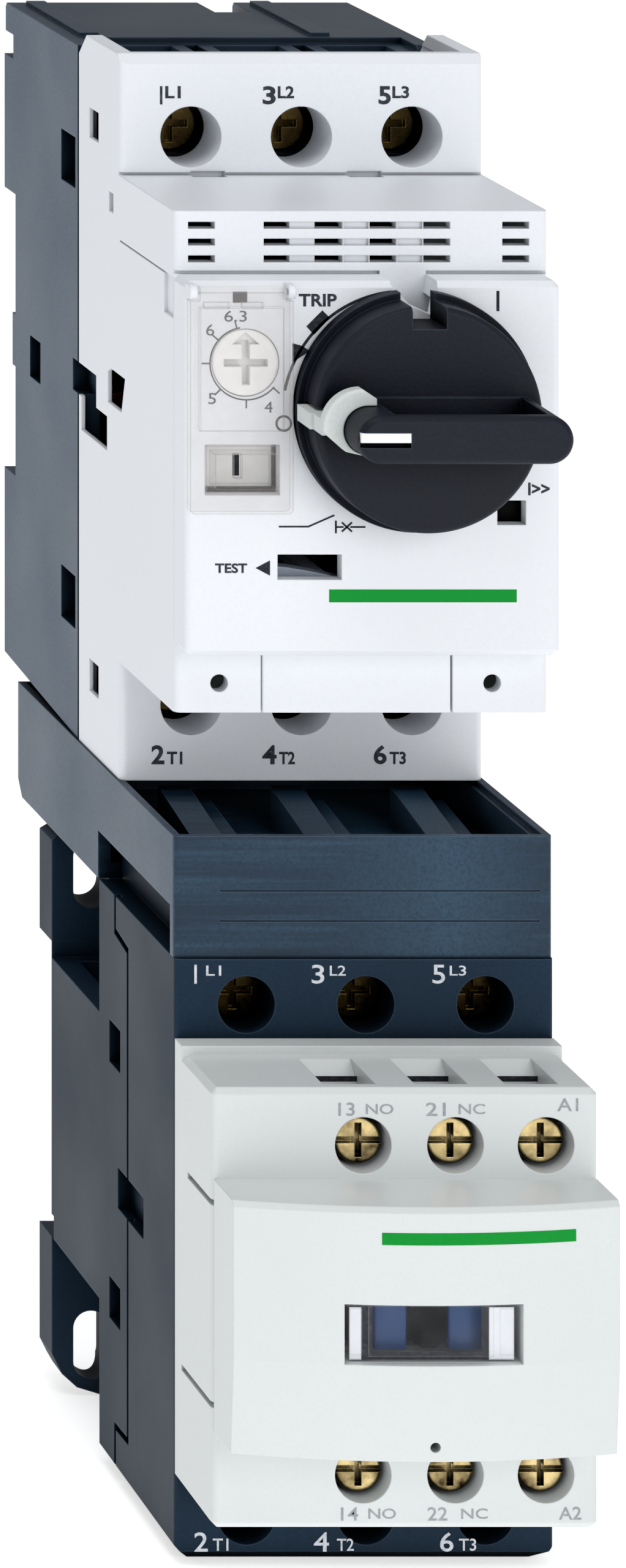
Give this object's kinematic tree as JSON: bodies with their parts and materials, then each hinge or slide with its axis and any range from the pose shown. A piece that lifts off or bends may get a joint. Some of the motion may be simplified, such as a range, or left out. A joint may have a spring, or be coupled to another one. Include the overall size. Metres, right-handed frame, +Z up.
{
  "type": "magnetic motor starter",
  "caption": "Motor starter: rotary-knob circuit breaker joined by a link block to a three-pole contactor, for a 35 mm rail.",
  "frame": {"origin": "on the centre line of the breaker's rail recess, in the plane of the breaker's back", "axes": "+X to the right seen from the front, +Y back into the panel, +Z up the pole row"},
  "size_m": [0.045, 0.1071, 0.1755],
  "materials": {
    "dark_plastic": "satin moulded, slate blue-grey",
    "pale_plastic": "satin moulded, cool off-white",
    "knob_plastic": "fine texture, near black",
    "grey_plastic": "satin, light grey",
    "white_plastic": "smooth white",
    "clear_plastic": "clear polycarbonate",
    "black_plastic": "moulded black",
    "blue_plastic": "moulded blue",
    "beige_plastic": "glass-filled moulding",
    "zinc_screw": "yellow zinc plated steel",
    "brass_clamp": "bright brass",
    "copper": "copper with silver tips",
    "steel": "zinc plated steel",
    "laminated_iron": "laminated, ground faces",
    "rubber": "moulded"
  },
  "bodies": {
    "casing": {"breaker_base": "dark_plastic", "breaker_cover": "pale_plastic", "breaker_front_panel": "pale_plastic", "breaker_aux_flap": "pale_plastic", "breaker_terminal_screws": "zinc_screw", "breaker_terminal_clamps": "brass_clamp", "breaker_line_contacts": "copper", "breaker_coil_contacts": "copper", "breaker_arc_chutes": "steel", "breaker_trip_coils": "copper", "breaker_coil_tubes": "black_plastic", "bimetal_strips": "steel", "heater_windings": "steel", "mechanism_frame": "steel", "mechanism_spring": "steel", "breaker_clip_spring": "steel", "link_housing": "dark_plastic", "link_bars": "copper", "contactor_base": "dark_plastic", "pole_housing": "dark_plastic", "terminal_cover": "pale_plastic", "front_cover": "pale_plastic", "window_lens": "clear_plastic", "magnet_core": "laminated_iron", "shading_rings": "copper", "core_cushion": "rubber", "coil_bobbin": "beige_plastic", "coil_winding": "copper", "return_springs": "steel", "power_line_contacts": "copper", "power_load_contacts": "copper", "power_terminal_screws": "zinc_screw", "power_terminal_clamps": "brass_clamp", "arc_shields": "steel", "aux_terminal_screws": "zinc_screw", "aux_terminal_clamps": "brass_clamp", "aux_contacts": "brass_clamp", "contactor_clip_spring": "steel"},
    "knob": {"knob": "knob_plastic", "knob_pointer": "white_plastic", "knob_shaft": "steel", "drive_cam": "black_plastic"},
    "lock_tab": {"knob_lock_tab": "grey_plastic"},
    "breaker_contacts": {"breaker_contact_bar": "black_plastic", "breaker_contact_bridges": "copper"},
    "setting_dial": {"setting_dial": "white_plastic"},
    "sealing_cover": {"sealing_cover": "clear_plastic"},
    "test_slider": {"test_slider": "grey_plastic"},
    "trip_bar": {"trip_bar": "black_plastic"},
    "trip_plungers": {"breaker_trip_plungers": "steel"},
    "trip_flag": {"trip_flag": "black_plastic"},
    "breaker_clip": {"breaker_rail_clip": "black_plastic"},
    "contactor_clip": {"contactor_rail_clip": "black_plastic"},
    "contactor_carrier": {"contact_carrier": "beige_plastic", "armature": "laminated_iron", "indicator_head": "blue_plastic", "indicator_stem": "black_plastic", "power_bridges": "copper", "aux_bridges": "brass_clamp", "contact_springs": "steel"}
  },
  "joints": [
    {"name": "knob_turn", "type": "hinge", "parent": "casing", "child": "knob", "pos_m": [0.0046, -0.0849, 0.0072], "axis": [0, 1, 0], "range_deg": [0, 90]},
    {"name": "lock_tab_slide", "type": "slide", "parent": "knob", "child": "lock_tab", "axis": [-1, 0, 0], "range_m": [0, 0.006]},
    {"name": "breaker_contacts_close", "type": "slide", "parent": "casing", "child": "breaker_contacts", "axis": [0, 1, 0], "range_m": [0, 0.0044]},
    {"name": "dial_turn", "type": "hinge", "parent": "casing", "child": "setting_dial", "pos_m": [-0.0151, -0.0844, 0.0126], "axis": [0, 1, 0], "range_deg": [-135, 135]},
    {"name": "sealing_cover_open", "type": "hinge", "parent": "casing", "child": "sealing_cover", "pos_m": [-0.01575, -0.0853, 0.0212], "axis": [-1, 0, 0], "range_deg": [0, 100]},
    {"name": "test_slide", "type": "slide", "parent": "casing", "child": "test_slider", "axis": [-1, 0, 0], "range_m": [0, 0.0028], "stiffness_N_per_m": 150},
    {"name": "trip_bar_turn", "type": "hinge", "parent": "casing", "child": "trip_bar", "pos_m": [0, -0.043, -0.014], "axis": [1, 0, 0], "range_deg": [0, 10]},
    {"name": "plungers_strike", "type": "slide", "parent": "casing", "child": "trip_plungers", "axis": [0, -1, 0], "range_m": [0, 0.001], "stiffness_N_per_m": 300},
    {"name": "trip_flag_drop", "type": "slide", "parent": "casing", "child": "trip_flag", "axis": [0, 0, -1], "range_m": [0, 0.0022]},
    {"name": "breaker_clip_release", "type": "slide", "parent": "casing", "child": "breaker_clip", "axis": [0, 0, -1], "range_m": [0, 0.004], "stiffness_N_per_m": 500, "deforming": ["breaker_clip_spring"]},
    {"name": "contactor_clip_release", "type": "slide", "parent": "casing", "child": "contactor_clip", "axis": [0, 0, -1], "range_m": [0, 0.004], "stiffness_N_per_m": 500, "deforming": ["contactor_clip_spring"]},
    {"name": "contactor_pull_in", "type": "slide", "parent": "casing", "child": "contactor_carrier", "axis": [0, 1, 0], "range_m": [0, 0.0044], "stiffness_N_per_m": 700, "deforming": ["return_springs"]}
  ],
  "couplings": [
    {"joint": "breaker_contacts_close", "follows": "knob_turn", "m_per_rad": 0.0028},
    {"joint": "trip_bar_turn", "follows": "plungers_strike", "rad_per_m": 174.5},
    {"joint": "trip_flag_drop", "follows": "plungers_strike", "ratio": 2.2}
  ]
}
